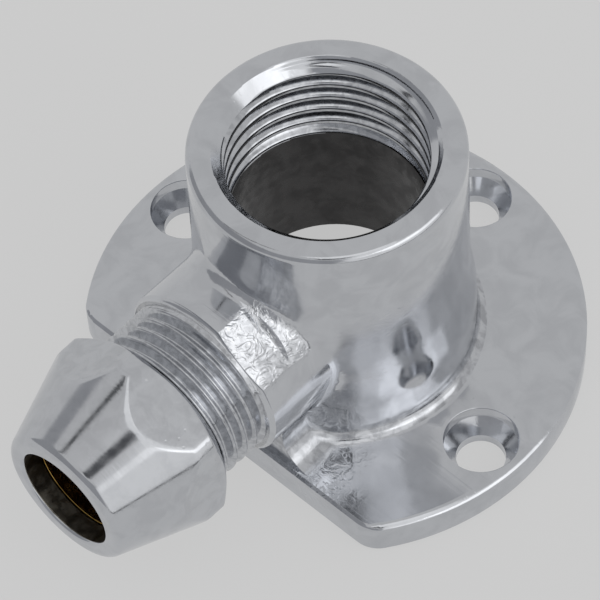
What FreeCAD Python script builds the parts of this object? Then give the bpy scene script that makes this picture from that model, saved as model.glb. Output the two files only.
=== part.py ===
import FreeCAD, Part
import math
import os

# Wall plate elbow, in millimetres. A brass casting carries an upright barrel with a female pipe thread
# on a round wall plate with one straight edge, and a side neck with a compression end for a small pipe.
# The origin is on the barrel's axis in the plate's wall face. +Z runs along the barrel, away from the
# wall, and the side neck points along -Y. The plane X = 0 is the casting's plane of symmetry.
Vector = FreeCAD.Vector

# Wall plate
PLATE_T = 3.9                # thickness
PLATE_FLAT_GAP = 2.85        # from the barrel's wall to the straight edge
PLATE_CORNER_R = 3.0         # rounded corners between the straight edge and the arc
PLATE_BEVEL_W = 0.5          # bevel along the arc's upper edge, in radius
PLATE_BEVEL_H = 0.8          # and in height
PLATE_FLAT_BEVEL = 0.3       # smaller bevel along the straight edge's upper edge
PLATE_BACK_CHAMFER = 0.3     # broken edge round the wall face

# Countersunk screw holes, on one circle round the barrel
SCREW_CLEARANCE = 7.0        # from the barrel's wall to a hole's centre, room for a screwdriver
SCREW_EDGE = 4.5             # from a hole's centre to the plate's arc
SCREW_ANGLES = (180.0, 88.1, -3.6)   # from +X towards +Y, as drilled
SCREW_HOLE_R = 2.4
SCREW_HEAD_R = 3.6
SCREW_HEAD_SINK = 1.3        # straight-walled seat above the cone
SCREW_CONE_H = 1.6

# Barrel
BARREL_TOP_R = 13.0
BARREL_DRAFT = 0.15          # how much wider the wall is just above the swell
BARREL_SWELL = 0.65          # how much wider still the foot is
BARREL_H = 31.2              # from the wall face to the mouth
SWELL_START_Z = 8.5
SWELL_END_Z = 15.5
SWELL_REACH = 0.4            # share of the swell's height over which it leaves each straight wall
BARREL_RIM_BEVEL = 0.45      # on the outer rim
BLEND_R = 1.4                # cast fillet where the barrel meets the plate, the web and the neck

# Barrel's bore, with a G 1/2 thread drawn as its plain tapped bore
MAIN_MAJOR_R = 10.4775
MAIN_BORE_R = 9.5            # 19 mm tapping drill, right through to the throat
MAIN_MOUTH_EXTRA = 0.27      # how far the mouth's chamfer runs past the thread's major radius
THROAT_Z = 6.35              # where the bore opens into the back recess
RECESS_R = 14.8              # back recess at the wall face

# Side neck and its G 3/8 thread, drawn as a plain spigot at the major radius
PORT_Z = 13.9                # height of the neck's axis
NECK_R = 9.1
NECK_END = 17.6              # distances along the neck are from the barrel's axis
NECK_STEP_H = 0.3            # axial length of the sloped step from the neck to the spigot
SPIGOT_R = 8.33
SPIGOT_END = 29.5
SPIGOT_CHAMFER = 0.7
WEB_R = 3.5                  # concave sides of the web between the neck and the plate
WEB_REACH = 2.2              # how far the web runs out beyond the barrel's wall

# Forging flat on the neck
FLAT_ANGLE = 37.5            # degrees from +Z towards +X
FLAT_OFFSET = 8.47           # from the neck's axis
FLAT_START = 13.3
FLAT_RUNOUT_R = 1.2

# Pipe socket, for a 10 mm pipe
PIPE_R = 5.0
PIPE_CLEARANCE = 0.05        # radial, in the socket and in the olive
SOCKET_DEPTH = 11.0          # from the spigot's end to the pipe stop
WATERWAY_R = 4.0
SEAT_MOUTH_R = 6.6           # wide end of the olive's seat in the spigot
SEAT_HALF_ANGLE = 30.0

# Olive
OLIVE_LENGTH = 6.65
OLIVE_R = 6.25
OLIVE_TIP_WALL = 0.15
OLIVE_GAP = 0.14             # free play at each of its two tapers, hand tight

# Compression nut
NUT_AF = 18.5                # across flats
NUT_CORNER_R = 10.33         # corners turned down to this radius
NUT_START = 24.35            # rear face
NUT_REAR_R = 9.28            # outer radius of the rear face
NUT_REAR_CHAMFER = 0.75
NUT_CONE_START = 27.0
NUT_CONE_HALF_ANGLE = 19.86
NUT_END = 36.3
NUT_NOSE_BEVEL = 0.75        # broken edge round the nose
NUT_TURN = 28.0              # degrees from +Z towards +X, to the normal of one flat
NUT_BORE_R = 5.2
NUT_BORE_CHAMFER = 0.15
NUT_SEAT_R = 7.3             # wide end of the nut's inner 45 degree cone
THREAD_CLEARANCE = 0.05      # radial, between the nut and the spigot
OVERRUN = 1.0                # how far a cutter runs past the face that it opens
TOUCH = 0.01                 # nearness that counts as on a face when edges are picked
NEAR_WALL = 0.1              # and as on the barrel's drafted wall


def turned(outline):
    """Solid of revolution about Z from a closed list of (radius, height) corners."""
    corners = [Vector(radius, 0, height) for radius, height in outline]
    face = Part.Face(Part.makePolygon(corners + corners[:1]))
    return face.revolve(Vector(0, 0, 0), Vector(0, 0, 1), 360)


def along_port(shape):
    """Turn a shape's +Z to the neck's direction, -Y, with its origin on the barrel's axis."""
    placed = shape.copy()
    placed.rotate(Vector(0, 0, 0), Vector(1, 0, 0), 90)
    placed.translate(Vector(0, 0, PORT_Z))
    return placed


def screw_circle_r():
    """Radius of the circle on which the screw holes lie."""
    return BARREL_TOP_R + SCREW_CLEARANCE


def plate_r():
    """Radius of the plate's arc."""
    return screw_circle_r() + SCREW_EDGE


def plate_flat_y():
    """Distance from the barrel's axis to the plate's straight edge."""
    return BARREL_TOP_R + PLATE_FLAT_GAP


def plate_trim():
    """Block that trims the round plate to its straight edge and two rounded corners."""
    arc_r, flat_y = plate_r(), plate_flat_y()
    centre_r = arc_r - PLATE_CORNER_R
    centre_y = PLATE_CORNER_R - flat_y
    centre_x = math.sqrt(centre_r ** 2 - centre_y ** 2)
    centre = Vector(centre_x, centre_y, 0)
    outward = Vector(centre_x, centre_y, 0).normalize()
    start = Vector(centre_x, -flat_y, 0)
    touch = centre + outward * PLATE_CORNER_R
    middle = centre + (outward + Vector(0, -1, 0)).normalize() * PLATE_CORNER_R
    side = touch + Vector(-outward.y, outward.x, 0) * arc_r / 2
    far = Vector(side.x, arc_r + OVERRUN, 0)
    line = Part.makeLine
    half = [line(Vector(0, -flat_y, 0), start), Part.Arc(start, middle, touch).toShape(),
            line(touch, side), line(side, far), line(far, Vector(0, far.y, 0)),
            line(Vector(0, far.y, 0), Vector(0, -flat_y, 0))]
    block = Part.Face(Part.Wire(half)).extrude(Vector(0, 0, PLATE_T))
    block = block.fuse(block.mirror(Vector(0, 0, 0), Vector(1, 0, 0))).removeSplitter()
    front = [edge for edge in block.Edges if edge.BoundBox.ZMin > PLATE_T - TOUCH
             and edge.BoundBox.YMax < PLATE_CORNER_R - flat_y]
    return block.makeChamfer(PLATE_FLAT_BEVEL, front)


def plate():
    """Wall plate. The bevel on the disc's upper edge runs out along the two trimmed corners."""
    arc_r = plate_r()
    disc = turned([(0, 0), (arc_r, 0), (arc_r, PLATE_T - PLATE_BEVEL_H),
                   (arc_r - PLATE_BEVEL_W, PLATE_T), (0, PLATE_T)])
    block = disc.common(plate_trim())
    lower = [edge for edge in block.Edges if edge.BoundBox.ZMax < TOUCH]
    return block.makeChamfer(PLATE_BACK_CHAMFER, lower)


def barrel_foot_r():
    """Radius of the barrel's wall below the swell."""
    return BARREL_TOP_R + BARREL_DRAFT + BARREL_SWELL


def barrel():
    """Upright barrel: straight foot, smooth swell, drafted wall and bevelled rim. Its seam is at +Y."""
    foot_r = barrel_foot_r()
    waist_r = BARREL_TOP_R + BARREL_DRAFT
    shoulder_z = BARREL_H - BARREL_RIM_BEVEL
    slope = BARREL_DRAFT / (shoulder_z - SWELL_END_Z)
    reach = (SWELL_END_Z - SWELL_START_Z) * SWELL_REACH
    swell = Part.BezierCurve()
    swell.setPoles([Vector(0, foot_r, SWELL_START_Z), Vector(0, foot_r, SWELL_START_Z + reach),
                    Vector(0, waist_r + slope * reach, SWELL_END_Z - reach),
                    Vector(0, waist_r, SWELL_END_Z)])
    corners = [Vector(0, waist_r, SWELL_END_Z), Vector(0, BARREL_TOP_R, shoulder_z),
               Vector(0, BARREL_TOP_R - BARREL_RIM_BEVEL, BARREL_H), Vector(0, 0, BARREL_H),
               Vector(0, 0, 0), Vector(0, foot_r, 0), Vector(0, foot_r, SWELL_START_Z)]
    wire = Part.Wire([swell.toShape()] + Part.makePolygon(corners).Edges)
    return Part.Face(wire).revolve(Vector(0, 0, 0), Vector(0, 0, 1), 360)


def neck():
    """Side neck and its spigot, as one turned solid along the port."""
    return along_port(turned([(0, 0), (NECK_R, 0), (NECK_R, NECK_END),
                              (SPIGOT_R, NECK_END + NECK_STEP_H),
                              (SPIGOT_R, SPIGOT_END - SPIGOT_CHAMFER),
                              (SPIGOT_R - SPIGOT_CHAMFER, SPIGOT_END), (0, SPIGOT_END)]))


def web():
    """Web under the neck, with concave sides that run out on the plate and on the neck."""
    centre_z = PLATE_T + WEB_R
    reach = NECK_R + WEB_R
    centre_x = math.sqrt(reach ** 2 - (PORT_Z - centre_z) ** 2)
    touch = Vector(centre_x * NECK_R / reach, 0, PORT_Z - (PORT_Z - centre_z) * NECK_R / reach)
    centre = Vector(centre_x, 0, centre_z)
    foot = Vector(centre_x, 0, PLATE_T)
    inward = (foot - centre).normalize() + (touch - centre).normalize()
    middle = centre + inward.normalize() * WEB_R
    base = Vector(centre_x, 0, PLATE_T / 2)
    top = Vector(0, 0, PORT_Z)
    floor = Vector(0, 0, PLATE_T / 2)
    half = Part.Wire([Part.makeLine(floor, base), Part.makeLine(base, foot),
                      Part.Arc(foot, middle, touch).toShape(), Part.makeLine(touch, top),
                      Part.makeLine(top, floor)])
    side = Part.Face(half).extrude(Vector(0, -(BARREL_TOP_R + WEB_REACH), 0))
    return side.fuse(side.mirror(Vector(0, 0, 0), Vector(1, 0, 0))).removeSplitter()


def blend_edges(casting):
    """Inner corners on the barrel's wall, all round its foot and over the neck."""
    found = []
    for edge in casting.Edges:
        box = edge.BoundBox
        middle = edge.valueAt((edge.FirstParameter + edge.LastParameter) / 2)
        radius = math.hypot(middle.x, middle.y)
        on_wall = BARREL_TOP_R - NEAR_WALL < radius < barrel_foot_r() + NEAR_WALL
        below_rim = box.ZMax < PORT_Z + NECK_R + NEAR_WALL and box.ZMin > PLATE_T - TOUCH
        if on_wall and below_rim and (box.XLength > TOUCH or box.YLength > TOUCH):
            found.append(edge)
    return found


def casting_blank():
    """Plate, barrel, web and neck as one solid, with the cast fillet at the barrel's wall."""
    blank = plate().fuse([barrel(), neck(), web()]).removeSplitter()
    return blank.makeFillet(BLEND_R, blend_edges(blank))


def main_bore():
    """Cutter for the barrel: mouth chamfer, straight bore and flared back recess."""
    mouth_r = MAIN_MAJOR_R + MAIN_MOUTH_EXTRA
    flare = (RECESS_R - MAIN_BORE_R) / THROAT_Z
    return turned([(0, BARREL_H + OVERRUN), (mouth_r + OVERRUN, BARREL_H + OVERRUN),
                   (MAIN_BORE_R, BARREL_H - (mouth_r - MAIN_BORE_R)), (MAIN_BORE_R, THROAT_Z),
                   (RECESS_R + flare * OVERRUN, -OVERRUN), (0, -OVERRUN)])


def seat_length():
    """Axial length of the olive's seat in the spigot."""
    return (SEAT_MOUTH_R - PIPE_R - PIPE_CLEARANCE) / math.tan(math.radians(SEAT_HALF_ANGLE))


def port_bore():
    """Cutter for the neck: waterway, pipe socket and the olive's conical seat."""
    socket_r = PIPE_R + PIPE_CLEARANCE
    stop = SPIGOT_END - SOCKET_DEPTH
    slope = math.tan(math.radians(SEAT_HALF_ANGLE))
    return along_port(turned([(0, 0), (WATERWAY_R, 0), (WATERWAY_R, stop), (socket_r, stop),
                              (socket_r, SPIGOT_END - seat_length()),
                              (SEAT_MOUTH_R + slope * OVERRUN, SPIGOT_END + OVERRUN),
                              (0, SPIGOT_END + OVERRUN)]))


def screw_hole(angle):
    """Cutter for one screw hole: straight-walled seat, cone and through hole."""
    seat_z = PLATE_T - SCREW_HEAD_SINK
    hole = turned([(0, -OVERRUN), (SCREW_HOLE_R, -OVERRUN), (SCREW_HOLE_R, seat_z - SCREW_CONE_H),
                   (SCREW_HEAD_R, seat_z), (SCREW_HEAD_R, PLATE_T + OVERRUN), (0, PLATE_T + OVERRUN)])
    hole.translate(Vector(screw_circle_r() * math.cos(math.radians(angle)),
                          screw_circle_r() * math.sin(math.radians(angle)), 0))
    return hole


def forging_flat():
    """Cutter for the flat on the neck, with a curved run-out towards the barrel."""
    depth = NECK_R - FLAT_OFFSET + 2 * BLEND_R
    length = NECK_END + NECK_STEP_H - FLAT_START
    width = 2 * NECK_R
    block = Part.makeBox(width, depth, length, Vector(-width / 2, FLAT_OFFSET, FLAT_START))
    inner = [edge for edge in block.Edges if abs(edge.CenterOfMass.y - FLAT_OFFSET) < TOUCH
             and abs(edge.CenterOfMass.z - FLAT_START) < TOUCH]
    block = block.makeFillet(FLAT_RUNOUT_R, inner)
    block.rotate(Vector(0, 0, 0), Vector(0, 0, 1), -FLAT_ANGLE)
    return along_port(block)


def elbow_body():
    """The casting, cut for its bores, screw holes and forging flat."""
    cutters = [main_bore(), port_bore(), forging_flat()]
    cutters += [screw_hole(angle) for angle in SCREW_ANGLES]
    return casting_blank().cut(cutters)


def hexagon(height, start):
    """Upright hexagonal prism across its flats, one flat facing NUT_TURN from the upright."""
    corner_r = NUT_AF / 2 / math.cos(math.radians(30))
    first = 90 - NUT_TURN + 30
    corners = []
    for step in range(6):
        angle = math.radians(first + 60 * step)
        corners.append(Vector(corner_r * math.cos(angle), corner_r * math.sin(angle), start))
    return Part.Face(Part.makePolygon(corners + corners[:1])).extrude(Vector(0, 0, height))


def nut_envelope():
    """Turned outside of the nut: rear chamfer, corner radius, long cone and bevelled nose."""
    slope = math.tan(math.radians(NUT_CONE_HALF_ANGLE))
    nose_y = NUT_END - NUT_NOSE_BEVEL
    nose_r = NUT_CORNER_R - slope * (nose_y - NUT_CONE_START)
    return turned([(0, NUT_START), (NUT_REAR_R, NUT_START),
                   (NUT_CORNER_R, NUT_START + NUT_REAR_CHAMFER), (NUT_CORNER_R, NUT_CONE_START),
                   (nose_r, nose_y), (nose_r - NUT_NOSE_BEVEL, NUT_END), (0, NUT_END)])


def nut_bore():
    """Inside of the nut: thread bore over the spigot, inner cone against the olive, pipe hole."""
    thread_r = SPIGOT_R + THREAD_CLEARANCE
    hole_start = olive_end() + OLIVE_GAP
    cone_start = hole_start - (NUT_SEAT_R - NUT_BORE_R)
    return turned([(0, NUT_START - OVERRUN), (thread_r, NUT_START - OVERRUN),
                   (thread_r, cone_start), (NUT_SEAT_R, cone_start), (NUT_BORE_R, hole_start),
                   (NUT_BORE_R, NUT_END - NUT_BORE_CHAMFER),
                   (NUT_BORE_R + NUT_BORE_CHAMFER + OVERRUN, NUT_END + OVERRUN),
                   (0, NUT_END + OVERRUN)])


def compression_nut():
    """Hexagon nut with a long turned cone, on the spigot's thread."""
    blank = hexagon(NUT_END - NUT_START, NUT_START).common(nut_envelope())
    return along_port(blank.cut(nut_bore()))


def olive_start():
    """Rear tip of the olive, clear of its seat in the spigot by the free play."""
    slope = math.tan(math.radians(SEAT_HALF_ANGLE))
    return SPIGOT_END - seat_length() + (OLIVE_TIP_WALL + OLIVE_GAP) / slope


def olive_end():
    """Front tip of the olive."""
    return olive_start() + OLIVE_LENGTH


def olive():
    """Compression ring with a long rear taper and a 45 degree front taper."""
    bore_r = PIPE_R + PIPE_CLEARANCE
    tip_r = bore_r + OLIVE_TIP_WALL
    slope = math.tan(math.radians(SEAT_HALF_ANGLE))
    rear_taper = (OLIVE_R - tip_r) / slope
    front_taper = OLIVE_R - tip_r
    return along_port(turned([(bore_r, olive_start()), (tip_r, olive_start()),
                              (OLIVE_R, olive_start() + rear_taper),
                              (OLIVE_R, olive_end() - front_taper), (tip_r, olive_end()),
                              (bore_r, olive_end())]))


def export(name, shape):
    """Write one piece to its STEP file and print its volume."""
    solid = shape.Solids[0]
    solid.exportStep(os.path.join("parts", name + ".step"))
    print(name, "solids", len(shape.Solids), "valid", solid.isValid(), "volume", round(solid.Volume, 1))


os.makedirs("parts", exist_ok=True)
export("elbow_body", elbow_body())
export("compression_nut", compression_nut())
export("olive", olive())
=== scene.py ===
"""Looks of the wall plate elbow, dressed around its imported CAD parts.

The casting keeps the CAD solid's own surfaces, which already carry the cast fillet, and is opened at the
barrel's mouth and at the side spigot, where rolled sheets with the real helical threads take over. The nut
and the olive are rolled sheets too. Sizes in the classes are millimetres, in the frame of the CAD: the
barrel stands along +Z from the wall face and the side neck points along -Y.
"""

import logging
import math
from dataclasses import dataclass, field
from enum import Enum
from typing import Sequence

import bpy
import numpy as np
from mathutils import Euler, Matrix, Vector


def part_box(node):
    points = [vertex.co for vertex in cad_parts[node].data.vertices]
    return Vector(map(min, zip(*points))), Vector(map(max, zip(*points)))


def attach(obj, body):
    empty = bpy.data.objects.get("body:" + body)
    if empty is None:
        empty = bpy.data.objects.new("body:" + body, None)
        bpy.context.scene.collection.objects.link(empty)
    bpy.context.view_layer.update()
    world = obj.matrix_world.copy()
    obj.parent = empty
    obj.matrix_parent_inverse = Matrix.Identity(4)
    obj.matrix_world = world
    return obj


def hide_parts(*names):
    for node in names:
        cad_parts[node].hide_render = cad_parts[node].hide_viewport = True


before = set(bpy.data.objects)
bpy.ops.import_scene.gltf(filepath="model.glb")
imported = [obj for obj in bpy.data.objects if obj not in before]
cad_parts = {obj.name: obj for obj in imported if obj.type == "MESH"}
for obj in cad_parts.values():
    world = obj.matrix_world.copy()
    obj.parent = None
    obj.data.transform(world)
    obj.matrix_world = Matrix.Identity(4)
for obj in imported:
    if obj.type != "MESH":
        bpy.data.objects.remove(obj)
MM = 0.001
WELD = 0.0008 * MM   # points closer than this become one
PORT_Z = 13.9        # height of the side neck's axis above the wall face
log = logging.getLogger("wall_plate_elbow")
Pair = tuple[float, float]
Triple = tuple[float, float, float]
Profile = Sequence[Pair]
Placed = tuple[str, float, float, float, Pair, float | str]
Socket = bpy.types.NodeSocket


def set_mode(mode: str) -> None:
    """Switches the active object to "OBJECT" or "EDIT" mode."""
    bpy.ops.object.mode_set(mode=mode)


def deselect() -> None:
    """Leaves edit mode and deselects every object."""
    if bpy.context.object and bpy.context.object.mode != "OBJECT":
        set_mode("OBJECT")
    bpy.ops.object.select_all(action="DESELECT")


def activate(obj: bpy.types.Object) -> None:
    """Makes an object the active one and selects it alone, in object mode.

    Args:
        obj: Any object.
    """
    deselect()
    bpy.context.view_layer.objects.active = obj
    obj.select_set(True)


def edit(obj: bpy.types.Object) -> None:
    """Opens one object in edit mode with nothing selected in it.

    Args:
        obj: Mesh object.
    """
    activate(obj)
    set_mode("EDIT")
    bpy.ops.mesh.select_mode(type="VERT")
    bpy.ops.mesh.select_all(action="DESELECT")


def points(obj: bpy.types.Object) -> np.ndarray:
    """Reads an object's vertices.

    Args:
        obj: Mesh object.

    Returns:
        Rows of x, y, z in millimetres.
    """
    flat = np.empty(len(obj.data.vertices) * 3)
    obj.data.vertices.foreach_get("co", flat)
    return flat.reshape(-1, 3) / MM


def centres(obj: bpy.types.Object) -> tuple[np.ndarray, np.ndarray]:
    """Gives the faces' centres in millimetres and their normals.

    Args:
        obj: Mesh object, in object mode.

    Returns:
        Centres and normals, one row a face.
    """
    count = len(obj.data.polygons)
    middle, normal = np.empty(count * 3), np.empty(count * 3)
    obj.data.polygons.foreach_get("center", middle)
    obj.data.polygons.foreach_get("normal", normal)
    return middle.reshape(-1, 3) / MM, normal.reshape(-1, 3)


def select_faces(obj: bpy.types.Object, chosen: np.ndarray) -> None:
    """Opens an object in edit mode with the chosen faces selected.

    Args:
        obj: Mesh object.
        chosen: One true or false a face.
    """
    edit(obj)
    bpy.ops.mesh.select_mode(type="FACE")
    set_mode("OBJECT")
    obj.data.polygons.foreach_set("select", chosen.astype(bool))
    set_mode("EDIT")


def apply_modifiers(obj: bpy.types.Object) -> None:
    """Applies every modifier of an object, in order.

    Args:
        obj: Mesh object.
    """
    activate(obj)
    for modifier in list(obj.modifiers):
        bpy.ops.object.modifier_apply(modifier=modifier.name)


def smooth(obj: bpy.types.Object, angle: float) -> None:
    """Shades an object smooth except across edges sharper than the angle.

    Args:
        obj: Mesh object.
        angle: Degrees.
    """
    activate(obj)
    bpy.ops.object.shade_smooth_by_angle(angle=math.radians(angle))


@dataclass(frozen=True)
class Axis:
    """Line that a rolled sheet turns round, at a height above the wall face."""

    port: bool
    height: float = 0.0

    def place(self, radius: np.ndarray, angle: np.ndarray, along: np.ndarray) -> np.ndarray:
        """Turns radius, angle and distance along the axis into points.

        Args:
            radius: Millimetres from the axis.
            angle: Radians of the columns, right-handed about the axis's own direction.
            along: Millimetres along the axis.

        Returns:
            Rows of x, y, z in metres.
        """
        first, second = radius * np.cos(angle), radius * np.sin(angle)
        if self.port:
            parts = (first, -along, second + self.height)
        else:
            parts = (first, second, along + self.height)
        return np.stack(parts, axis=-1).reshape(-1, 3) * MM

    def polar(self, place: np.ndarray) -> tuple[np.ndarray, np.ndarray]:
        """Reads how far points are from the axis and along it.

        Args:
            place: Rows of x, y, z in millimetres.

        Returns:
            Radii and distances along the axis in millimetres.
        """
        if self.port:
            return np.hypot(place[:, 0], place[:, 2] - self.height), -place[:, 1]
        return np.hypot(place[:, 0], place[:, 1]), place[:, 2] - self.height


BARREL = Axis(port=False)
PORT = Axis(port=True, height=PORT_Z)


def soft_least(first: np.ndarray, second: np.ndarray | float, blend: float) -> np.ndarray:
    """Smaller of two fields, rounded over where they cross.

    Args:
        first: One field in millimetres.
        second: The other field, or one value.
        blend: Difference over which they melt into each other.

    Returns:
        The smooth lower field.
    """
    near = np.clip(1 - np.abs(first - second) / blend, 0, 1)
    return np.minimum(first, second) - near ** 2 * blend / 4


@dataclass(frozen=True)
class Thread:
    """Right-handed 55 degree pipe thread, as a groove's depth over angle and distance."""

    pitch: float
    depth: float
    opening: float
    start: float
    end: float
    run_in: float
    run_out: float
    root_blend: float = 0.34
    crest_blend: float = 0.08
    half_angle: float = 27.5
    phase: float = 0.0

    def height(self, angle: np.ndarray, along: np.ndarray) -> np.ndarray:
        """Gives the groove's depth under the surface of the crests.

        Args:
            angle: Radians about the axis.
            along: Millimetres along the axis.

        Returns:
            Millimetres, nought on the crests and outside the thread.
        """
        turns = along / self.pitch - angle / (2 * math.pi) + self.phase
        off = np.abs(turns - np.round(turns)) * self.pitch
        flank = (self.opening / 2 - off) / math.tan(math.radians(self.half_angle))
        fade_in = np.clip((along - self.start) / self.run_in, 0, 1)
        fade_out = np.clip((self.end - along) / self.run_out, 0, 1)
        depth = self.depth * fade_in * fade_out
        groove = soft_least(flank, depth, self.root_blend)
        return np.where(depth > 0, -soft_least(-groove, 0.0, self.crest_blend), 0.0).clip(0)

    def rings(self, angle: np.ndarray, begin: float, end: float, a_turn: int) -> np.ndarray:
        """Gives rings that climb with the thread, a turn of them past each end.

        Args:
            angle: Radians about the axis, one for each column.
            begin: Millimetres along the axis where the rings begin.
            end: Where they end, on either side.
            a_turn: Rings in a turn of the thread.

        Returns:
            Millimetres along the axis, one row a ring.
        """
        step = self.pitch / a_turn
        count = math.ceil(abs(end - begin) / step) + a_turn + 2
        lead = angle / (2 * math.pi) - (1 if end > begin else 0)
        return begin + self.pitch * lead + math.copysign(step, end - begin) * np.arange(count)[:, None]


@dataclass
class RolledSheet:
    """Sheet of quads rolled into a tube along an outline, as a turned piece."""

    name: str
    axis: Axis
    columns: int

    @property
    def angles(self) -> np.ndarray:
        """Radians of the columns, from nought to a full turn."""
        return np.linspace(0, 2 * math.pi, self.columns + 1)

    def rows(self, outline: Profile, step: float) -> tuple[np.ndarray, np.ndarray]:
        """Divides an outline into short steps and repeats it in each column.

        Args:
            outline: Corners as radius and distance along the axis.
            step: Longest step in millimetres.

        Returns:
            Radii and distances along the axis, one row a ring and one column an angle.
        """
        found = [np.array(outline[0], float)]
        for begin, finish in zip(outline, outline[1:]):
            a, b = np.array(begin, float), np.array(finish, float)
            count = max(1, math.ceil(float(np.linalg.norm(b - a)) / step))
            found += [a + (b - a) * k / count for k in range(1, count + 1)]
        radius, along = np.array(found).T[:, :, None].repeat(self.columns + 1, axis=2)
        return radius, along

    def build(self, radius: np.ndarray, along: np.ndarray, angle: np.ndarray) -> bpy.types.Object:
        """Rolls a grid up so that each of its vertices is at its radius, distance and angle.

        Args:
            radius: Millimetres, one row a ring and one column an angle.
            along: Millimetres along the axis, of the same shape.
            angle: Radians, one for each column.

        Returns:
            The welded tube.
        """
        deselect()
        rings, across = radius.shape
        bpy.ops.mesh.primitive_grid_add(x_subdivisions=across - 1, y_subdivisions=rings - 1, size=1)
        obj = bpy.context.object
        obj.name = obj.data.name = self.name
        obj.data.vertices.foreach_set("co", self.axis.place(radius, angle, along).ravel())
        obj.data.update()
        edit(obj)
        bpy.ops.mesh.select_all(action="SELECT")
        bpy.ops.mesh.remove_doubles(threshold=WELD)
        bpy.ops.mesh.normals_make_consistent(inside=False)
        set_mode("OBJECT")
        return obj

    def turned(self, outline: Profile, step: float) -> bpy.types.Object:
        """Rolls a plain turned tube.

        Args:
            outline: Corners as radius and distance along the axis.
            step: Longest step in millimetres.

        Returns:
            The tube.
        """
        return self.build(*self.rows(outline, step), self.angles)


@dataclass
class PhotoCamera:
    """Camera at the photograph's viewing angle, found from the piece's own circles and edges."""

    position: Triple = (143.957, -145.623, 296.459)
    right: Triple = (0.734049, 0.678183, -0.035204)
    up: Triple = (-0.539297, 0.613658, 0.576700)
    back: Triple = (0.412711, -0.404340, 0.816198)
    lens: float = 220.199
    sensor: float = 36.0

    def build(self) -> bpy.types.Object:
        """Adds the camera and makes it the scene's own.

        Returns:
            The camera object.
        """
        data = bpy.data.cameras.new("photo_camera")
        data.lens, data.sensor_width = self.lens, self.sensor
        data.clip_start, data.clip_end = 10 * MM, 10.0
        camera = bpy.data.objects.new("photo_camera", data)
        bpy.context.scene.collection.objects.link(camera)
        columns = Matrix((self.right, self.up, self.back)).transposed()
        camera.matrix_world = Matrix.Translation(Vector(self.position) * MM) @ columns.to_4x4()
        bpy.context.scene.camera = camera
        return camera


def arc(centre: Pair, radius: float, start: float, end: float,
        steps: int = 6) -> list[Pair]:
    """Points along an arc of an outline.

    Args:
        centre: Radius and distance along the axis.
        radius: Millimetres.
        start: Degrees from the outward radius towards the axis's own direction.
        end: Degrees where the arc stops.
        steps: Runs that the arc is divided into.

    Returns:
        Outline points, both ends among them.
    """
    angles = [math.radians(start + (end - start) * k / steps) for k in range(steps + 1)]
    return [(centre[0] + radius * math.cos(a), centre[1] + radius * math.sin(a)) for a in angles]


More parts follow.
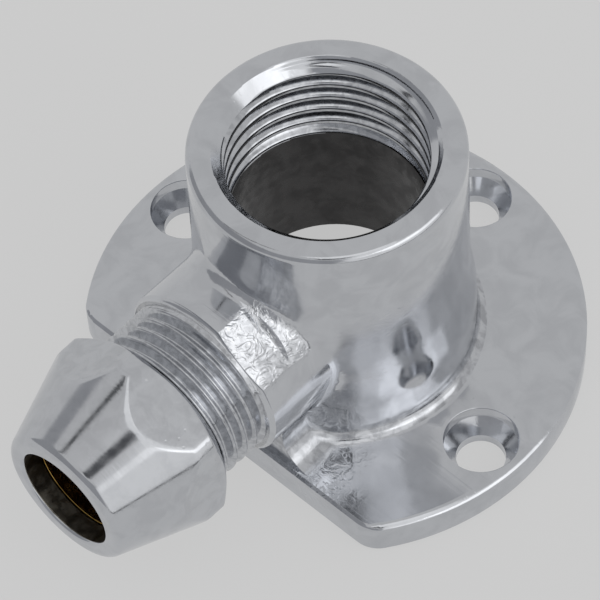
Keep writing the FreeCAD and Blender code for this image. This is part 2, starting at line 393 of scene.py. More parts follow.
@dataclass
class Casting:
    """Plated casting: the CAD node's own surfaces with soft edges, a rounded mouth and real threads."""

    node: str = "elbow_body"
    body: str = "fitting"
    barrel_h: float = 31.2
    wall_top_r: float = 13.0
    rim_round: float = 0.85
    mouth_r: float = 10.7475
    bore_r: float = 9.5
    bore_cut_z: float = 20.2
    shoulder_z: float = 30.75
    spigot_r: float = 8.33
    spigot_cut: float = 17.98
    spigot_end: float = 29.5
    spigot_chamfer: float = 0.7
    waterway_r: float = 4.0
    socket_r: float = 5.05
    socket_stop: float = 18.5
    seat_mouth_r: float = 6.6
    seat_depth: float = 2.685
    edge_round: float = 0.09
    lip_round: float = 0.13
    screw_circle_r: float = 20.0
    screw_angles: tuple[float, ...] = (180.0, 88.1, -3.6)
    screw_head_r: float = 3.6
    plate_t: float = 3.9
    bevel_r: float = 24.0
    bevel_z: float = 3.1
    bevel_reach: float = 0.22
    bevel_foot: float = 3.52
    female: Thread = Thread(pitch=1.814, depth=0.9775, opening=1.32, start=-40.0, end=-20.9,
                            run_in=0.5, run_out=1.2, phase=0.63)
    male: Thread = Thread(pitch=1.337, depth=0.855, opening=1.114, start=18.25, end=40.0,
                          run_in=0.5, run_out=0.5, root_blend=0.25, crest_blend=0.12)
    # Columns of the tubes, longest steps, gaps to bridge and rings in a turn of thread
    mouth_columns: int = 256
    spigot_columns: int = 224
    rim_step: float = 0.5
    socket_step: float = 1.2
    female_gap: float = 0.4
    male_gap: float = 0.15
    female_rings: int = 18
    male_rings: int = 14
    # Limits in degrees, millimetres and shares of a unit normal, that tell points and faces apart
    flat_level: float = 0.02
    sharp: float = 33.0
    smooth_under: float = 40.0
    rim_zone: Pair = (23.6, 3.0)
    bore_from_z: float = 4.9
    facing: float = 0.9
    upright: float = 0.1
    lid_depth: float = 3.0
    lid_tilt: float = 0.3
    slack: float = 0.02

    def shell(self) -> bpy.types.Object:
        """Copies the CAD node's mesh and opens it where the threads begin.

        Returns:
            The open shell, with its wall's top lowered to where the rim's rounding starts.
        """
        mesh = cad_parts[self.node].data.copy()
        shell = bpy.data.objects.new("casting", mesh)
        bpy.context.scene.collection.objects.link(shell)
        self.soften_rim(mesh)
        edit(shell)
        bpy.ops.mesh.select_all(action="SELECT")
        bpy.ops.mesh.remove_doubles(threshold=WELD)
        bpy.ops.mesh.select_all(action="SELECT")
        bpy.ops.mesh.bisect(plane_co=(0, -self.spigot_cut * MM, 0), plane_no=(0, -1, 0), clear_outer=True)
        set_mode("OBJECT")
        middle, normal = centres(shell)
        radius, height = BARREL.polar(middle)
        outward = middle[:, 0] * normal[:, 0] + middle[:, 1] * normal[:, 1]
        bore = (radius < self.bore_r + 0.05) & (height > self.bore_from_z)
        bore &= (outward < -self.facing * radius) & (np.abs(normal[:, 2]) < self.upright)
        select_faces(shell, bore)
        bpy.ops.mesh.bisect(plane_co=(0, 0, self.bore_cut_z * MM), plane_no=(0, 0, 1), clear_outer=True)
        set_mode("OBJECT")
        middle, normal = centres(shell)
        lid = (middle[:, 2] > self.shoulder_z - self.lid_depth) & (np.abs(normal[:, 2]) > self.lid_tilt)
        select_faces(shell, lid)
        bpy.ops.mesh.delete(type="FACE")
        bpy.ops.mesh.select_all(action="SELECT")
        bpy.ops.mesh.delete_loose()
        set_mode("OBJECT")
        high = points(shell)[:, 2] > self.shoulder_z - self.slack
        edit(shell)
        set_mode("OBJECT")
        shell.data.vertices.foreach_set("select", high)
        set_mode("EDIT")
        bpy.ops.transform.translate(value=(0, 0, -self.rim_round * MM))
        set_mode("OBJECT")
        return shell

    def soften_rim(self, mesh: bpy.types.Mesh) -> None:
        """Lays the plate's bevel flatter and lifts its foot, as polishing leaves that edge.

        Args:
            mesh: The copied mesh, with its rings still where the CAD has them.
        """
        place = np.empty(len(mesh.vertices) * 3)
        mesh.vertices.foreach_get("co", place)
        place = place.reshape(-1, 3)
        radius = np.hypot(place[:, 0], place[:, 1]) / MM
        height = place[:, 2] / MM
        inner = self.bevel_r - self.bevel_reach
        top = (radius > inner) & (height > self.plate_t - self.slack)
        place[top, :2] *= (inner / radius[top])[:, None]
        foot = (radius > inner) & (height > self.bevel_z - 0.03) & (height < self.bevel_foot)
        place[foot, 2] = self.bevel_foot * MM
        mesh.vertices.foreach_set("co", place.ravel())
        log.info("rim: %d and %d points moved", int(top.sum()), int(foot.sum()))

    def round_edges(self, shell: bpy.types.Object) -> None:
        """Rounds the shell's sharp edges, as casting, polishing and plating leave them.

        Args:
            shell: The open shell.
        """
        edit(shell)
        bpy.ops.mesh.select_all(action="SELECT")
        bpy.ops.mesh.dissolve_limited(angle_limit=math.radians(self.flat_level))
        set_mode("OBJECT")
        lips = shell.vertex_groups.new(name="screw_lips")
        lips.add(np.flatnonzero(self.near_lips(points(shell), self.slack)).tolist(), 1.0, "REPLACE")
        soft = shell.modifiers.new("lip_round", "BEVEL")
        soft.width, soft.segments = self.lip_round * MM, 4
        soft.limit_method, soft.vertex_group = "VGROUP", "screw_lips"
        crisp = shell.modifiers.new("edge_round", "BEVEL")
        crisp.width, crisp.segments = self.edge_round * MM, 1
        crisp.limit_method, crisp.angle_limit = "ANGLE", math.radians(self.sharp)
        apply_modifiers(shell)
        shell.vertex_groups.clear()
        group = shell.vertex_groups.new(name="cad_surface")
        place = points(shell)
        exact = ~self.near_lips(place, self.lip_round + 0.03)
        radius = np.hypot(place[:, 0], place[:, 1])
        beyond_r, above_z = self.rim_zone
        exact &= ~((radius > beyond_r) & (place[:, 2] > above_z) & (place[:, 2] < self.plate_t - 0.01))
        group.add(np.flatnonzero(exact).tolist(), 1.0, "REPLACE")

    def near_lips(self, place: np.ndarray, reach: float) -> np.ndarray:
        """Finds the points close to the screw holes' upper edges.

        Args:
            place: Points in millimetres.
            reach: Distance in millimetres that still counts as close.

        Returns:
            A flag for each point.
        """
        near = np.zeros(len(place), bool)
        for angle in np.radians(self.screw_angles):
            centre = self.screw_circle_r * np.array([math.cos(angle), math.sin(angle)])
            radial = np.hypot(place[:, 0] - centre[0], place[:, 1] - centre[1]) - self.screw_head_r
            near |= np.hypot(radial, place[:, 2] - self.plate_t) < reach
        return near

    def mouth(self) -> bpy.types.Object:
        """Rolls the barrel's rim, mouth chamfer and threaded bore as one open tube.

        Returns:
            The tube, from the barrel's wall over the rim and down the bore.
        """
        rim, top = self.rim_round, self.barrel_h
        outer = [(self.wall_top_r + 0.001, top - rim - 0.12)]
        outer += arc((self.wall_top_r - rim, top - rim), rim, 0, 90)
        outer += [(self.mouth_r + 0.06, top), (self.mouth_r, top - 0.04)]
        sheet = RolledSheet("barrel_mouth", BARREL, self.mouth_columns)
        rim_r, rim_z = sheet.rows(outer, self.rim_step)
        angle = sheet.angles
        start, foot = top - 0.05, self.bore_cut_z + self.female_gap
        helix = np.clip(self.female.rings(angle, start, foot, self.female_rings), foot, start)
        groove = self.bore_r + self.female.height(-angle, -helix)
        cone = self.mouth_r - (top - helix)
        inner = np.maximum(groove, cone)
        return sheet.build(np.vstack([rim_r, inner]), np.vstack([rim_z, helix]), angle)

    def spigot(self) -> bpy.types.Object:
        """Rolls the threaded spigot with the olive's seat and the pipe socket as one open tube.

        Returns:
            The tube, from the neck outward, round the end and back down the socket.
        """
        sheet = RolledSheet("spigot", PORT, self.spigot_columns)
        angle = sheet.angles
        first, last = self.spigot_cut + self.male_gap, self.spigot_end
        helix = np.clip(self.male.rings(angle, first, last, self.male_rings), first, last)
        chamfer = self.spigot_r - self.spigot_chamfer + (last - helix)
        outer = np.minimum(self.spigot_r - self.male.height(angle, helix), chamfer)
        bore = [(self.seat_mouth_r, last), (self.socket_r, last - self.seat_depth),
                (self.socket_r, self.socket_stop), (self.waterway_r, self.socket_stop),
                (self.waterway_r, self.socket_stop - 0.1)]
        socket_r, socket_y = sheet.rows(bore, self.socket_step)
        return sheet.build(np.vstack([outer, socket_r]), np.vstack([helix, socket_y]), angle)

    def join(self, shell: bpy.types.Object, tubes: Sequence[bpy.types.Object]) -> bpy.types.Object:
        """Joins the tubes to the shell and bridges each pair of open rings.

        Args:
            shell: The open shell.
            tubes: The rolled tubes.

        Returns:
            The closed casting.
        """
        deselect()
        for tube in tubes:
            tube.select_set(True)
        shell.select_set(True)
        bpy.context.view_layer.objects.active = shell
        bpy.ops.object.join()
        for radii, reach, axis in self.gaps():
            edit(shell)
            set_mode("OBJECT")
            self.select_rings(shell, radii, reach, axis)
            set_mode("EDIT")
            bpy.ops.mesh.select_mode(type="EDGE")
            bpy.ops.mesh.bridge_edge_loops()
        set_mode("OBJECT")
        return shell

    def gaps(self) -> list[tuple[Pair, Pair, Axis]]:
        """Names each pair of open rings by its radius and its range along its axis.

        Returns:
            Radius range, range along the axis and the axis.
        """
        return [((12.5, 13.5), (self.shoulder_z - 1, self.barrel_h), BARREL),
                ((9.0, 9.8), (self.bore_cut_z - 0.5, self.bore_cut_z + 0.6), BARREL),
                ((8.0, 8.6), (self.spigot_cut - 0.2, self.spigot_cut + 0.5), PORT),
                ((3.7, 4.3), (self.spigot_cut - 0.2, self.spigot_cut + 0.5), PORT)]

    def select_rings(self, shell: bpy.types.Object, radii: Pair,
                     reach: Pair, axis: Axis) -> None:
        """Selects the open edges of one gap.

        Args:
            shell: The joined mesh, in object mode.
            radii: Lowest and highest radius.
            reach: Lowest and highest distance along the axis.
            axis: The rings' own axis.
        """
        radius, along = axis.polar(points(shell))
        near = (radius > radii[0]) & (radius < radii[1]) & (along > reach[0]) & (along < reach[1])
        mesh = shell.data
        uses = np.zeros(len(mesh.edges), int)
        loops = np.empty(len(mesh.loops), int)
        mesh.loops.foreach_get("edge_index", loops)
        np.add.at(uses, loops, 1)
        ends = np.empty(len(mesh.edges) * 2, int)
        mesh.edges.foreach_get("vertices", ends)
        ends = ends.reshape(-1, 2)
        chosen = (uses == 1) & near[ends[:, 0]] & near[ends[:, 1]]
        log.info("gap %s: %d open edges", radii, int(chosen.sum()))
        vertex = np.zeros(len(mesh.vertices), bool)
        vertex[ends[chosen].ravel()] = True
        mesh.vertices.foreach_set("select", vertex)
        mesh.edges.foreach_set("select", chosen)
        mesh.polygons.foreach_set("select", np.zeros(len(mesh.polygons), bool))

    def take_normals(self, casting: bpy.types.Object) -> None:
        """Gives the CAD surfaces' exact normals to the casting, for clean reflections.

        Args:
            casting: The closed casting.
        """
        transfer = casting.modifiers.new("cad_normals", "DATA_TRANSFER")
        transfer.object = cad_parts[self.node]
        transfer.use_loop_data = True
        transfer.data_types_loops = {"CUSTOM_NORMAL"}
        transfer.loop_mapping = "POLYINTERP_NEAREST"
        transfer.vertex_group = "cad_surface"
        apply_modifiers(casting)
        casting.vertex_groups.clear()

    def build(self) -> bpy.types.Object:
        """Builds the whole casting.

        Returns:
            The finished piece, riding on its body in place of the CAD node.
        """
        shell = self.shell()
        self.round_edges(shell)
        casting = self.join(shell, [self.mouth(), self.spigot()])
        smooth(casting, self.smooth_under)
        self.take_normals(casting)
        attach(casting, self.body)
        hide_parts(self.node)
        return casting


@dataclass
class CompressionNut:
    """Hexagon nut with a long turned cone, its corners turned and polished round."""

    node: str = "compression_nut"
    body: str = "nut_body"
    across_flats: float = 18.5
    corner_r: float = 10.33
    start: float = 24.35
    rear_r: float = 9.28
    rear_chamfer: float = 0.75
    cone_start: float = 27.0
    cone_half_angle: float = 19.86
    end: float = 36.3
    nose_round: float = 0.95
    mouth_r: float = 5.35
    bore_r: float = 5.2
    seat_r: float = 7.3
    seat_start: float = 32.01
    hole_start: float = 34.11
    thread_r: float = 8.39
    turn: float = 28.0
    corner_blend: float = 0.15
    columns: int = 288
    row_step: float = 0.16
    mouth_rows: int = 12
    thread_rings: int = 12
    smooth_under: float = 40.0
    thread: Thread = Thread(pitch=1.337, depth=0.855, opening=1.114, start=24.35, end=31.4,
                            run_in=0.5, run_out=0.6, root_blend=0.25, crest_blend=0.12)

    def hexagon(self, angle: np.ndarray) -> np.ndarray:
        """Radius of the hexagon at each angle.

        Args:
            angle: Radians about the port.

        Returns:
            Millimetres from the port's axis.
        """
        first = math.radians(90 - self.turn)
        sixth = math.radians(60)
        off = np.mod(angle - first + sixth / 2, sixth) - sixth / 2
        return self.across_flats / 2 / np.cos(off)

    def outline(self) -> list[Pair]:
        """Turned outline of the nut's outside, from its rear face to its mouth.

        Returns:
            Outline points.
        """
        slope = math.tan(math.radians(self.cone_half_angle))
        lean = 90 - self.cone_half_angle
        nose_y = self.end - self.nose_round
        at_nose = self.corner_r - slope * (nose_y - self.cone_start)
        centre_r = at_nose - self.nose_round / math.cos(math.radians(self.cone_half_angle))
        rounded = arc((centre_r, nose_y), self.nose_round, 90 - lean, 90, 8)
        rear = [(self.thread_r + 0.15, self.start), (self.rear_r - 0.15, self.start),
                (self.rear_r, self.start + 0.06)]
        shoulder = self.start + self.rear_chamfer
        side = [(self.corner_r - 0.08, shoulder - 0.05), (self.corner_r, shoulder + 0.08),
                (self.corner_r, self.cone_start - 0.15),
                (self.corner_r - 0.03, self.cone_start + 0.15)]
        mouth = [(self.mouth_r + 0.12, self.end), (self.mouth_r, self.end - 0.05),
                 (self.bore_r, self.end - 0.25), (self.bore_r, self.hole_start),
                 (self.seat_r, self.seat_start)]
        return rear + side + rounded + mouth

    def build(self) -> bpy.types.Object:
        """Builds the nut.

        Returns:
            The finished piece, riding on its body in place of the CAD node.
        """
        sheet = RolledSheet("nut", PORT, self.columns)
        angle = math.radians(90 - self.turn) + sheet.angles
        plain_r, outer_y = sheet.rows(self.outline(), self.row_step)
        outside = np.arange(len(plain_r)) < len(plain_r) - self.mouth_rows
        shaped = soft_least(plain_r, self.hexagon(angle), self.corner_blend)
        outer_r = np.where(outside[:, None], shaped, plain_r)
        helix = self.thread.rings(angle, self.seat_start, self.start, self.thread_rings)
        helix = np.clip(helix, self.start, self.seat_start - 0.02)
        ridge = self.thread.height(angle, helix)
        entry = self.thread_r + 0.15 - (helix - self.start)
        inner_r = np.maximum(self.thread_r - ridge, entry)
        nut = sheet.build(np.vstack([outer_r, inner_r]), np.vstack([outer_y, helix]), angle)
        smooth(nut, self.smooth_under)
        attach(nut, self.body)
        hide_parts(self.node)
        return nut


@dataclass
class Olive:
    """Brass compression ring with a long rear taper and a short front taper."""

    node: str = "olive"
    body: str = "olive_body"
    bore_r: float = 5.05
    tip_wall: float = 0.15
    outer_r: float = 6.25
    rear_half_angle: float = 30.0
    edge: float = 0.08
    columns: int = 160
    row_step: float = 0.6
    smooth_under: float = 30.0

    def build(self) -> bpy.types.Object:
        """Builds the olive between the ends of its CAD node.

        Returns:
            The finished piece, riding on its body in place of the CAD node.
        """
        low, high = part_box(self.node)
        start, end = -high.y / MM, -low.y / MM
        tip_r = self.bore_r + self.tip_wall
        rear = (self.outer_r - tip_r) / math.tan(math.radians(self.rear_half_angle))
        front = self.outer_r - tip_r
        edge = self.edge
        outline = [(self.bore_r, start + edge / 2), (self.bore_r + edge / 2, start),
                   (tip_r - edge / 2, start), (tip_r, start + edge / 2),
                   (self.outer_r - edge / 2, start + rear - edge), (self.outer_r, start + rear + edge),
                   (self.outer_r, end - front - edge), (self.outer_r - edge, end - front + edge),
                   (tip_r, end - edge / 2), (tip_r - edge / 2, end), (self.bore_r + edge / 2, end),
                   (self.bore_r, end - edge / 2), (self.bore_r, start + edge / 2)]
        sheet = RolledSheet("compression_olive", PORT, self.columns)
        olive = sheet.turned(outline, self.row_step)
        smooth(olive, self.smooth_under)
        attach(olive, self.body)
        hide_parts(self.node)
        return olive


def linear(code: str) -> tuple[float, float, float, float]:
    """Turns an sRGB hex colour into Blender's linear values.

    Args:
        code: Six hex digits after a hash.

    Returns:
        Linear red, green, blue and an alpha of one.
    """
    parts = [int(code[k:k + 2], 16) / 255 for k in (1, 3, 5)]
    made = [p / 12.92 if p <= 0.04045 else ((p + 0.055) / 1.055) ** 2.4 for p in parts]
    return made[0], made[1], made[2], 1.0


def node(tree: bpy.types.NodeTree, kind: str, links: dict | None = None, **settings) -> bpy.types.Node:
    """Adds a node with its settings, its inputs' values and its links.

    Args:
        tree: Node tree to add to.
        kind: Node type, without the "ShaderNode" that they all start with.
        links: Input names or numbers, each with a value or an output socket.
        settings: Properties of the node itself.

    Returns:
        The new node.
    """
    made = tree.nodes.new("ShaderNode" + kind)
    for key, value in settings.items():
        setattr(made, key, value)
    for key, value in (links or {}).items():
        if isinstance(value, Socket):
            tree.links.new(value, made.inputs[key])
        else:
            made.inputs[key].default_value = value
    return made


def fresh_material(name: str) -> tuple[bpy.types.Material, bpy.types.NodeTree, bpy.types.Node]:
    """Adds a material with an empty node tree and its output.

    Args:
        name: Name of the material.

    Returns:
        The material, its tree and its output node.
    """
    material = bpy.data.materials.new(name)
    material.use_nodes = True
    material.node_tree.nodes.clear()
    return material, material.node_tree, node(material.node_tree, "OutputMaterial")


@dataclass
class Studio:
    """Pale floor, pale surroundings, soft boxes and the grey things that polished metal mirrors."""

    grey: str = "#cccccc"
    floor_colour: str = "#686868"
    floor_glow: float = 0.84
    floor_size: float = 6.0
    floor_drop: float = 0.05
    paper_end_place: Triple = (0.33, 0.0, 0.0015)
    paper_end_size: Pair = (0.20, 0.55)
    # Name, azimuth, elevation, distance, size and power or colour
    soft_boxes: tuple[Placed, ...] = (
        ("key_soft_box", 1, 22, 0.55, (0.74, 0.46), 0.27),
        ("key_soft_box_core", 14, 36, 0.54, (0.40, 0.26), 0.17),
        ("key_soft_box_top", -4, 48, 0.54, (0.38, 0.26), 0.10),
        ("overhead_soft_box", -15, 74, 0.9, (0.5, 0.36), 0.21))
    cards: tuple[Placed, ...] = (
        ("dim_side_left", -125, 24, 0.8, (1.3, 0.8), "#9b9c9f"),
        ("dim_side_front", -68, 24, 0.85, (0.85, 0.72), "#a0a1a4"),
        ("tent_gap", -43, 58, 0.75, (0.22, 0.13), "#505154"),
        ("tent_seam", -141, 63, 0.72, (0.045, 0.3), "#3c3d40"))

    def plain(self, name: str, colour: str) -> bpy.types.Material:
        """Material that gives off one even grey.

        Args:
            name: Name of the material.
            colour: Its colour.

        Returns:
            The material.
        """
        material, tree, output = fresh_material(name)
        glow = node(tree, "Emission", {"Color": linear(colour), "Strength": 1.0})
        tree.links.new(glow.outputs[0], output.inputs["Surface"])
        return material

    def seen(self, tree: bpy.types.NodeTree) -> Socket:
        """One where the camera looks, also by way of metal or glass.

        Args:
            tree: Node tree to add to.

        Returns:
            The output socket.
        """
        path = node(tree, "LightPath").outputs
        seen = path["Is Camera Ray"]
        for ray in ("Is Glossy Ray", "Is Transmission Ray"):
            seen = node(tree, "Math", {0: seen, 1: path[ray]}, operation="MAXIMUM").outputs[0]
        return seen

    def floor(self) -> None:
        """Adds the floor just under the wall face."""
        deselect()
        bpy.ops.mesh.primitive_plane_add(size=self.floor_size, location=(0, 0, -self.floor_drop * MM))
        floor = bpy.context.object
        floor.name = "floor"
        # Pale matt paper: even and nearly white to the eye and in the metal, with faint soft shadows
        material, tree, output = fresh_material("pale_paper_matt")
        seen = self.seen(tree)
        share = node(tree, "Math", {0: seen, 1: self.floor_glow}, operation="MULTIPLY")
        glow = node(tree, "Emission", {"Color": linear(self.grey), "Strength": share.outputs[0]})
        paper = node(tree, "BsdfDiffuse", {"Color": linear(self.floor_colour)})
        both = node(tree, "AddShader", {0: glow.outputs[0], 1: paper.outputs[0]})
        tree.links.new(both.outputs[0], output.inputs["Surface"])
        floor.data.materials.append(material)

    def facing(self, azimuth: float, elevation: float, distance: float) -> tuple[Vector, Euler]:
        """Place and turn of something that faces the part.

        Args:
            azimuth: Degrees from +X towards +Y.
            elevation: Degrees above the floor.
            distance: Metres from the part.

        Returns:
            Its place in metres and its rotation.
        """
        a, e = math.radians(azimuth), math.radians(elevation)
        towards = Vector((math.cos(e) * math.cos(a), math.cos(e) * math.sin(a), math.sin(e)))
        return towards * distance, towards.to_track_quat("Z", "Y").to_euler()

    def card(self, name: str, place: Vector, turn: Euler, size: Pair, colour: str) -> None:
        """Adds a grey card that shows only in the part's reflections.

        Args:
            name: Name of the card.
            place: Its middle in metres.
            turn: Its rotation.
            size: Width and height in metres.
            colour: Its grey.
        """
        deselect()
        bpy.ops.mesh.primitive_plane_add(size=1, location=place, rotation=turn)
        card = bpy.context.object
        card.name = name
        card.scale = (size[0], size[1], 1)
        card.visible_camera = card.visible_diffuse = card.visible_shadow = False
        # One even grey, so that it shows in the metal as a soft darker patch
        card.data.materials.append(self.plain(name, colour))

    def lamp(self, name: str, place: Vector, turn: Euler, size: Pair, power: float) -> None:
        """Adds a soft box.

        Args:
            name: Name of the lamp.
            place: Its middle in metres.
            turn: Its rotation.
            size: Width and height in metres.
            power: Watts.
        """
        data = bpy.data.lights.new(name, "AREA")
        data.shape = "RECTANGLE"
        data.size, data.size_y, data.energy = size[0], size[1], power
        lamp = bpy.data.objects.new(name, data)
        lamp.location, lamp.rotation_euler = place, turn
        lamp.visible_camera = False
        bpy.context.scene.collection.objects.link(lamp)

    def surroundings(self) -> None:
        """Gives the world one pale grey, for the camera and for what metal mirrors."""
        world = bpy.data.worlds.new("pale_surroundings")
        bpy.context.scene.world = world
        world.use_nodes = True
        back = world.node_tree.nodes["Background"]
        back.inputs["Color"].default_value = linear(self.grey)

    def build(self) -> None:
        """Builds the studio."""
        bpy.context.scene.view_settings.view_transform = "Standard"
        self.floor()
        self.surroundings()
        for name, azimuth, elevation, distance, size, power in self.soft_boxes:
            self.lamp(name, *self.facing(azimuth, elevation, distance), size, power)
        for name, azimuth, elevation, distance, size, colour in self.cards:
            self.card(name, *self.facing(azimuth, elevation, distance), size, colour)
        # The dark gap where the paper ends under the soft box
        self.card("paper_end", Vector(self.paper_end_place), Euler(), self.paper_end_size, "#3a3b3e")


@dataclass(frozen=True)
class Finish:
    """One metal surface, its sizes and depths in millimetres.

    The gloss is the least and greatest roughness, and the mottle is the size of the clouds in colour and
    gloss. Wave, grain, rings and wrinkle give a size and a depth, a pit its spacing, depth and share of the
    spacing, a scratch its depth, and the wrinkled spot its middle and radius.
    """

    name: str
    colour: str
    dull: str
    gloss: Pair
    mottle: float
    wave: Pair
    grain: Pair
    pit: Triple = (1.0, 0.0, 0.2)
    scratch: float = 0.0
    rings: Pair = (0.2, 0.0)
    wrinkle: Pair = (1.0, 0.0)
    wrinkled_spot: tuple[float, float, float, float] = (0.0, 0.0, 0.0, 1.0)


class Surface(Enum):
    """The surfaces that the photograph tells apart."""

    # Nickel-chrome plate over hand-polished cast brass: mirrors the studio, a little wavy and clouded
    CASTING = Finish("chrome_plated_cast_brass_polished", "#d0d2d6", "#c7c9cd", (0.09, 0.15), 3.5,
                     (5.0, 0.008), (0.6, 0.0009), pit=(1.6, 0.004, 0.13), scratch=0.0016,
                     wrinkle=(1.3, 0.020), wrinkled_spot=(8.0, -14.0, 4.5, 9.0))
    # The same plate where the wheel could not reach: wrinkled as cast, so its highlights break up
    CORNERS = Finish("chrome_plated_cast_brass_unpolished", "#cdcfd3", "#aeb0b4", (0.10, 0.2), 1.3,
                     (1.9, 0.012), (0.5, 0.0022), pit=(0.9, 0.008, 0.2))
    # Rough forged flat on the neck, with dark scribbles from its wrinkles; its colour is lighter than the
    # other chrome plate, a painted highlight of the key soft box
    FLAT = Finish("chrome_plated_forging_flat_rough_painted_highlight", "#dcdee2", "#c4c6ca", (0.14, 0.26), 0.8,
                  (1.0, 0.012), (0.35, 0.004), pit=(0.8, 0.012, 0.2),
                  wrinkle=(1.7, 0.045), wrinkled_spot=(5.2, -15.2, 20.6, 7.0))
    # Plate down the bore and behind the plate: dull and streaked, and its near-black colour is painted
    # shade of these deep hollows
    BORE = Finish("dull_bore_plate_painted_shade", "#4b4a4a", "#3f3e3e", (0.24, 0.38), 2.2,
                  (2.5, 0.008), (0.4, 0.003))
    # Plated threads: bright flanks with small marks from the die
    THREAD = Finish("chrome_plated_cut_thread", "#cdcfd3", "#b7b9bd", (0.09, 0.16), 0.7,
                    (1.6, 0.003), (0.35, 0.0008))
    # Turned and plated cone of the nut: fine rings that streak the highlight
    NUT = Finish("chrome_plated_turned_brass", "#cdcfd3", "#c6c8cc", (0.10, 0.15), 2.0,
                 (5.0, 0.004), (0.35, 0.0006), rings=(0.2, 0.0030))
    # The nut's hexagon: plated over the raw bar, with small bright pits
    HEXAGON = Finish("chrome_plated_hexagon_bar_pitted", "#cfd1d5", "#c6c8cc", (0.11, 0.18), 1.6,
                     (3.0, 0.004), (0.4, 0.0008), pit=(0.75, 0.02, 0.24))
    # Bare dull brass inside the nut: nearly black where little light gets in
    INSIDE = Finish("bare_brass_dark_inside", "#a19d93", "#77736b", (0.3, 0.45), 1.5,
                    (2.0, 0.004), (0.4, 0.002))
    # Plain turned brass of the compression ring
    OLIVE = Finish("turned_brass_bright", "#c9a45c", "#a98646", (0.16, 0.28), 1.2,
                   (2.0, 0.003), (0.25, 0.001), rings=(0.18, 0.0012))


@dataclass
class Metal:
    """Builds the material of one surface."""

    CLOUD_LEVELS = (0.38, 0.66)
    GLOSS_LEVELS = (0.35, 0.65)
    CLUSTER_LEVELS = (0.52, 0.6)
    LINE_LEVELS = (0.70, 0.76)
    FOLD_LEVELS = (0.4, 0.62)
    SCRATCH_TURNS = (0.5, 1.7, 2.6)
    finish: Finish
    tree: bpy.types.NodeTree = field(init=False)
    place: Socket = field(init=False)
    normal: Socket | None = field(init=False, default=None)

    def noise(self, size: float, detail: float = 2.0, warp: float = 0.0,
              where: Socket | None = None) -> Socket:
        """Noise whose spots are about one size across.

        Args:
            size: Millimetres.
            detail: Finer layers over it.
            warp: How far it is drawn out of shape.
            where: Coordinates, or the object's own.

        Returns:
            The noise's value.
        """
        made = node(self.tree, "TexNoise",
                    {"Vector": where or self.place, "Scale": 1 / (size * MM), "Detail": detail,
                     "Roughness": 0.55, "Distortion": warp})
        return made.outputs["Fac"]

    def step(self, value: Socket, low: float, high: float, start: float = 0.0,
             end: float = 1.0) -> Socket:
        """Smooth step of a value from one level to another.

        Args:
            value: What is read.
            low: Value where the step starts.
            high: Value where it ends.
            start: Result below it.
            end: Result above it.

        Returns:
            The result.
        """
        made = node(self.tree, "MapRange", {"Value": value, "From Min": low, "From Max": high,
                                                      "To Min": start, "To Max": end},
                    interpolation_type="SMOOTHSTEP")
        return made.outputs["Result"]

    def bump(self, height: Socket, depth: float) -> None:
        """Lays one more unevenness over those before it.

        Args:
            height: From zero to one.
            depth: Millimetres.
        """
        links = {"Height": height, "Distance": depth * MM, "Strength": 1.0}
        if self.normal:
            links["Normal"] = self.normal
        self.normal = node(self.tree, "Bump", links).outputs["Normal"]

    def pits(self) -> None:
        """Small round pits, in clusters."""
        spacing, depth, share = self.finish.pit
        cells = node(self.tree, "TexVoronoi",
                     {"Vector": self.place, "Scale": 1 / (spacing * MM), "Randomness": 1.0})
        pit = self.step(cells.outputs["Distance"], share * 0.4, share)
        some = self.step(self.noise(spacing * 4), *self.CLUSTER_LEVELS)
        inside = self.step(pit, 0, 1, 1, 0)
        shown = node(self.tree, "Math", {0: some, 1: inside}, operation="MULTIPLY")
        self.bump(self.step(shown.outputs[0], 0, 1, 1, 0), depth)

    def scratches(self) -> None:
        """Long fine scratches in three directions."""
        for turn in self.SCRATCH_TURNS:
            along = node(self.tree, "Mapping",
                         {"Vector": self.place, "Rotation": (0.2 * turn, 0.1, turn),
                          "Scale": (1.0, 45.0, 45.0)})
            line = self.step(self.noise(26.0, 0.0, 0.0, along.outputs[0]), *self.LINE_LEVELS)
            self.bump(self.step(line, 0, 1, 1, 0), self.finish.scratch)

    def wrinkles(self) -> None:
        """Wrinkles of the rough casting, within one spot where the wheel hardly reached."""
        size, depth = self.finish.wrinkle
        *middle, radius = (value * MM for value in self.finish.wrinkled_spot)
        away = node(self.tree, "VectorMath", {0: self.place, 1: tuple(middle)},
                    operation="DISTANCE")
        near = self.step(away.outputs["Value"], radius * 0.45, radius, 1, 0)
        folds = self.step(self.noise(size, 2.0, 1.6), *self.FOLD_LEVELS)
        shown = node(self.tree, "Math", {0: near, 1: folds}, operation="MULTIPLY")
        self.bump(shown.outputs[0], depth)

    def rings(self) -> None:
        """Turning marks round the port's axis."""
        spacing, depth = self.finish.rings
        split = node(self.tree, "SeparateXYZ", {0: self.place})
        flat = node(self.tree, "CombineXYZ", {"Y": split.outputs["Y"]})
        self.bump(self.noise(spacing, 3.0, 0.0, flat.outputs[0]), depth)

    def build(self) -> bpy.types.Material:
        """Builds the material.

        Returns:
            The material.
        """
        finish = self.finish
        material, self.tree, output = fresh_material(finish.name)
        self.place = node(self.tree, "TexCoord").outputs["Object"]
        self.bump(self.noise(finish.wave[0], 1.0), finish.wave[1])
        self.bump(self.noise(finish.grain[0]), finish.grain[1])
        if finish.pit[1]:
            self.pits()
        if finish.scratch:
            self.scratches()
        if finish.rings[1]:
            self.rings()
        if finish.wrinkle[1]:
            self.wrinkles()
        cloud = self.step(self.noise(finish.mottle, 4.0, 0.6), *self.CLOUD_LEVELS)
        tint = node(self.tree, "Mix",
                    {0: cloud, 6: linear(finish.colour), 7: linear(finish.dull)}, data_type="RGBA")
        gloss = self.step(self.noise(finish.mottle * 0.6, 3.0), *self.GLOSS_LEVELS, *finish.gloss)
        shader = node(self.tree, "BsdfPrincipled",
                      {"Base Color": tint.outputs[2], "Metallic": 1.0, "Roughness": gloss,
                       "Normal": self.normal})
        self.tree.links.new(shader.outputs[0], output.inputs["Surface"])
        return material


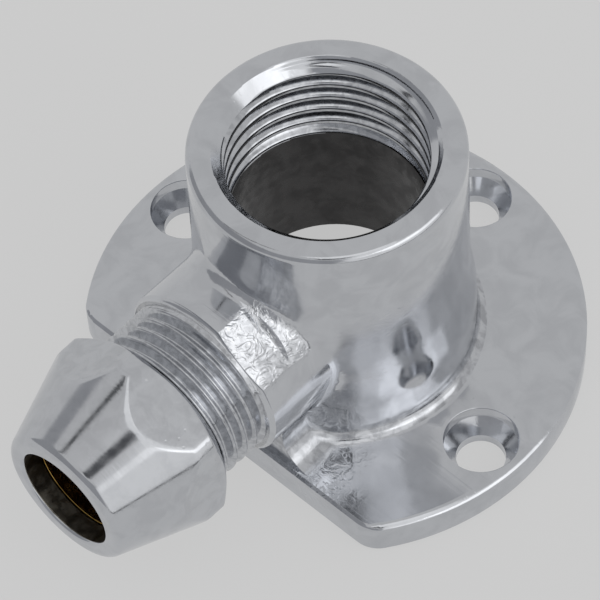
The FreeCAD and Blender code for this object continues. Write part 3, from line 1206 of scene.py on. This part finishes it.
def dress(piece: bpy.types.Object, surfaces: Sequence[Surface], faces: Sequence[np.ndarray]) -> None:
    """Gives a piece its materials, the first to all faces and each other one to the faces named.

    Args:
        piece: The finished piece.
        surfaces: Its surfaces.
        faces: A flag for each face, for the second surface and those after it.
    """
    piece.data.materials.clear()
    for surface in surfaces:
        piece.data.materials.append(Metal(surface.value).build())
    index = np.zeros(len(piece.data.polygons), int)
    for slot, chosen in enumerate(faces, start=1):
        index[chosen] = slot
    piece.data.polygons.foreach_set("material_index", index)
    log.info("%s: %d faces, %s", piece.name, len(index), np.bincount(index).tolist())


@dataclass(frozen=True)
class CastingMarks:
    """Radii, heights and distances that part the casting's surfaces."""

    bore_r: float = 9.75
    throat_z: float = 6.3
    recess: Pair = (15.0, 6.5)
    seat_r: float = 6.7
    waterway_y: float = -9.3
    female: Triple = (10.55, 21.0, 29.7)
    male: Pair = (8.36, -18.05)
    flat_angle: float = 37.5
    flat_level: Pair = (8.4, 10.5)
    flat_y: Pair = (-17.98, -11.6)
    flat_half_width: float = 3.6
    neck_r: float = 9.08
    neck_foot_y: float = -15.5
    wall_r: float = 13.25
    corners_z: Pair = (3.95, 7.5)
    corners_r: Pair = (12.5, 24.0)
    polished: Pair = (14.1, 5.6)

    def faces(self, casting: bpy.types.Object) -> list[np.ndarray]:
        """Tells the casting's surfaces apart by place and direction.

        Args:
            casting: The finished casting.

        Returns:
            Flags for the bore, the threads, the forging flat and the unpolished corners.
        """
        middle, normal = centres(casting)
        x, y, z = middle.T
        radius, port_r = BARREL.polar(middle)[0], PORT.polar(middle)[0]
        outward = (x * normal[:, 0] + y * normal[:, 1]) / np.maximum(radius, 0.01)
        thread_r, thread_low, thread_high = self.female
        # Bore, socket and the hollow behind the plate take the near-black material, painted shade of these
        # deep hollows
        bore = (radius < self.bore_r) & (z < thread_low) & (z > self.throat_z)
        bore |= (radius < self.recess[0]) & (z < self.recess[1]) & (outward < -0.3)
        bore |= (port_r < self.seat_r) & (y < self.waterway_y)
        threads = (radius < thread_r) & (z > thread_low) & (z < thread_high)
        threads |= (port_r < self.male[0]) & (port_r > self.seat_r) & (y < self.male[1])
        corners = (z > self.corners_z[0]) & (z < self.corners_z[1])
        corners &= (radius > self.corners_r[0]) & (radius < self.corners_r[1])
        corners &= ~((radius < self.polished[0]) & (z > self.polished[1]))
        return [bore, threads, self.flat(middle, normal), corners]

    def flat(self, middle: np.ndarray, normal: np.ndarray) -> np.ndarray:
        """Finds the rough forging flat, on to the fillet at the barrel's wall.

        Args:
            middle: The faces' centres in millimetres.
            normal: Their normals.

        Returns:
            A flag for each face.
        """
        x, y, z = middle.T
        sine, cosine = math.sin(math.radians(self.flat_angle)), math.cos(math.radians(self.flat_angle))
        facing = normal[:, 0] * sine + normal[:, 2] * cosine
        level = x * sine + (z - PORT_Z) * cosine
        across = np.abs(x * cosine - (z - PORT_Z) * sine)
        # These faces take the lightened chrome whose colour paints the key soft box's highlight
        flat = (facing > 0.6) & (level > self.flat_level[0]) & (level < self.flat_level[1])
        flat &= (y > self.flat_y[0]) & (y < self.flat_y[1]) & (across < self.flat_half_width)
        flat &= (np.hypot(x, z - PORT_Z) < self.neck_r) | (y > self.neck_foot_y)
        return flat & (np.hypot(x, y) > self.wall_r)


@dataclass(frozen=True)
class NutMarks:
    """Radius and distances that part the nut's surfaces."""

    inside_r: float = 8.6
    mouth_y: float = -36.1
    rear_y: float = -24.5

    def faces(self, nut: bpy.types.Object) -> list[np.ndarray]:
        """Tells the nut's hexagon and its inside apart from its turned cone.

        Args:
            nut: The finished nut.

        Returns:
            Flags for the hexagon and the inside.
        """
        middle, normal = centres(nut)
        x, y, z = middle[:, 0], middle[:, 1], middle[:, 2] - PORT_Z
        radius = np.hypot(x, z)
        outward = (x * normal[:, 0] + z * normal[:, 2]) / radius
        hexagon = (outward > 0.9) & (np.abs(normal[:, 1]) < 0.12)
        inside = (outward < 0.3) & (radius < self.inside_r) & (y > self.mouth_y) & (y < self.rear_y)
        return [hexagon, inside]


def main() -> None:
    """Builds everything."""
    logging.basicConfig(level=logging.INFO)
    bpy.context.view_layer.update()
    casting, nut, olive = Casting().build(), CompressionNut().build(), Olive().build()
    dress(casting, (Surface.CASTING, Surface.BORE, Surface.THREAD, Surface.FLAT, Surface.CORNERS),
          CastingMarks().faces(casting))
    dress(nut, (Surface.NUT, Surface.HEXAGON, Surface.INSIDE), NutMarks().faces(nut))
    dress(olive, (Surface.OLIVE,), ())
    PhotoCamera().build()
    Studio().build()


if __name__ == "__main__":
    main()
